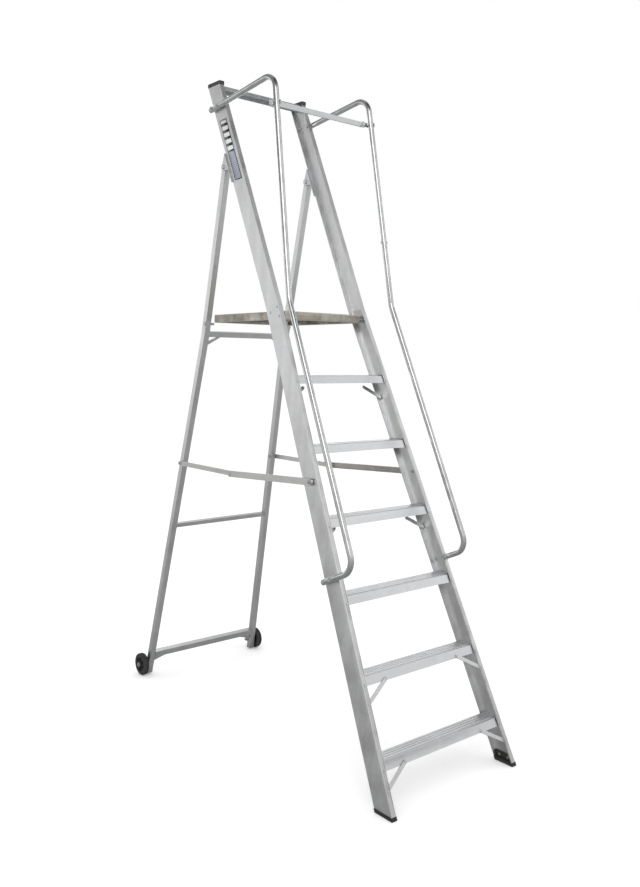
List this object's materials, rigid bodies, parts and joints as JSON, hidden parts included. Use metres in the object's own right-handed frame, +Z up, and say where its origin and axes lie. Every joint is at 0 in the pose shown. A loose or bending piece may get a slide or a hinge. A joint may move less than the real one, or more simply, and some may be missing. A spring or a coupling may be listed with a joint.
{
  "type": "platform ladder",
  "caption": "Folding aluminium warehouse ladder with ribbed treads, a small lift-up platform, bent tube handrails, side stays and wheels at the rear.",
  "frame": {"origin": "on the floor, midway between the stiles and midway between the front edge of the feet and the rear edge of the wheels", "axes": "+X to the right of someone climbing, +Y from the front feet to the wheels, +Z up"},
  "size_m": [0.682, 1.71, 2.588],
  "materials": {
    "stile_alloy": "mill-finish extruded alloy, mottled and lightly scratched",
    "tread_alloy": "mill-finish extruded alloy with bright ribs",
    "rail_tube": "polished drawn tube",
    "leg_alloy": "mill-finish square tube",
    "stay_alloy": "dull warm-grey channel",
    "deck_plate": "patterned plate, faintly yellowed",
    "bracket_alloy": "pressed alloy bracket",
    "fastener": "bright zinc-plated steel",
    "black_plastic": "moulded black plastic",
    "foot_rubber": "ribbed black rubber",
    "wheel_rubber": "solid black rubber"
  },
  "bodies": {
    "front_frame": {"stile_left": "stile_alloy", "stile_right": "stile_alloy", "tread_1": "tread_alloy", "tread_2": "tread_alloy", "tread_3": "tread_alloy", "tread_4": "tread_alloy", "tread_5": "tread_alloy", "tread_6": "tread_alloy", "top_shelf": "tread_alloy", "tread_braces": "tread_alloy", "tread_rivets": "fastener", "cap_left": "black_plastic", "cap_right": "black_plastic", "shoe_left": "foot_rubber", "shoe_right": "foot_rubber", "shoe_rivets": "fastener", "rail_left_lower": "rail_tube", "rail_left_upper": "rail_tube", "rail_right_lower": "rail_tube", "rail_right_upper": "rail_tube", "rail_sleeves": "rail_tube", "rail_bolts": "fastener", "hinge_left": "bracket_alloy", "hinge_right": "bracket_alloy", "hinge_pins": "fastener", "deck_bracket_left": "bracket_alloy", "deck_bracket_right": "bracket_alloy", "deck_pins": "fastener", "guard_catch": "bracket_alloy", "guard_clevis": "bracket_alloy", "guard_pin": "fastener", "stay_bolts_front": "fastener"},
    "rear_frame": {"leg_left": "leg_alloy", "leg_right": "leg_alloy", "upper_crossbar": "leg_alloy", "middle_crossbar": "leg_alloy", "lower_crossbar": "leg_alloy", "crossbar_braces": "leg_alloy", "deck_rests": "fastener", "stay_bolts_rear": "fastener", "axle_left": "fastener", "axle_right": "fastener"},
    "platform": {"platform_deck": "deck_plate", "platform_stiffeners": "bracket_alloy"},
    "guard_bar": {"guard_bar": "bracket_alloy"},
    "stay_front_left": {"stay_front_left": "stay_alloy", "stay_joint_pin_left": "fastener"},
    "stay_front_right": {"stay_front_right": "stay_alloy", "stay_joint_pin_right": "fastener"},
    "stay_rear_left": {"stay_rear_left": "stay_alloy"},
    "stay_rear_right": {"stay_rear_right": "stay_alloy"},
    "wheel_left": {"tyre_left": "wheel_rubber", "hub_left": "black_plastic"},
    "wheel_right": {"tyre_right": "wheel_rubber", "hub_right": "black_plastic"}
  },
  "joints": [
    {"name": "frame_fold", "type": "hinge", "parent": "front_frame", "child": "rear_frame", "pos_m": [0, 0.27455, 2.24], "axis": [-1, 0, 0], "range_deg": [0, 35]},
    {"name": "platform_lift", "type": "hinge", "parent": "front_frame", "child": "platform", "pos_m": [0, -0.07106, 1.6405], "axis": [1, 0, 0], "range_deg": [0, 63]},
    {"name": "guard_bar_lift", "type": "hinge", "parent": "front_frame", "child": "guard_bar", "pos_m": [0.20897, -0.06939, 2.417], "axis": [0, 1, 0], "range_deg": [0, 88]},
    {"name": "stay_front_left_fold", "type": "hinge", "parent": "front_frame", "child": "stay_front_left", "pos_m": [-0.266, -0.34969, 1.039], "axis": [1, 0, 0], "range_deg": [0, 56]},
    {"name": "stay_front_right_fold", "type": "hinge", "parent": "front_frame", "child": "stay_front_right", "pos_m": [0.266, -0.34969, 1.039], "axis": [1, 0, 0], "range_deg": [0, 56]},
    {"name": "stay_rear_left_fold", "type": "hinge", "parent": "rear_frame", "child": "stay_rear_left", "pos_m": [-0.257, 0.56323, 1.014], "axis": [-1, 0, 0], "range_deg": [0, 75.95]},
    {"name": "stay_rear_right_fold", "type": "hinge", "parent": "rear_frame", "child": "stay_rear_right", "pos_m": [0.257, 0.56323, 1.014], "axis": [-1, 0, 0], "range_deg": [0, 75.95]},
    {"name": "wheel_left_roll", "type": "hinge", "parent": "rear_frame", "child": "wheel_left", "pos_m": [-0.321, 0.805, 0.05], "axis": [1, 0, 0], "continuous": true},
    {"name": "wheel_right_roll", "type": "hinge", "parent": "rear_frame", "child": "wheel_right", "pos_m": [0.321, 0.805, 0.05], "axis": [1, 0, 0], "continuous": true}
  ],
  "couplings": [
    {"joint": "platform_lift", "follows": "frame_fold", "ratio": 1.8},
    {"joint": "stay_front_left_fold", "follows": "frame_fold", "ratio": 1.6},
    {"joint": "stay_front_right_fold", "follows": "frame_fold", "ratio": 1.6},
    {"joint": "stay_rear_left_fold", "follows": "frame_fold", "ratio": 2.17},
    {"joint": "stay_rear_right_fold", "follows": "frame_fold", "ratio": 2.17}
  ]
}
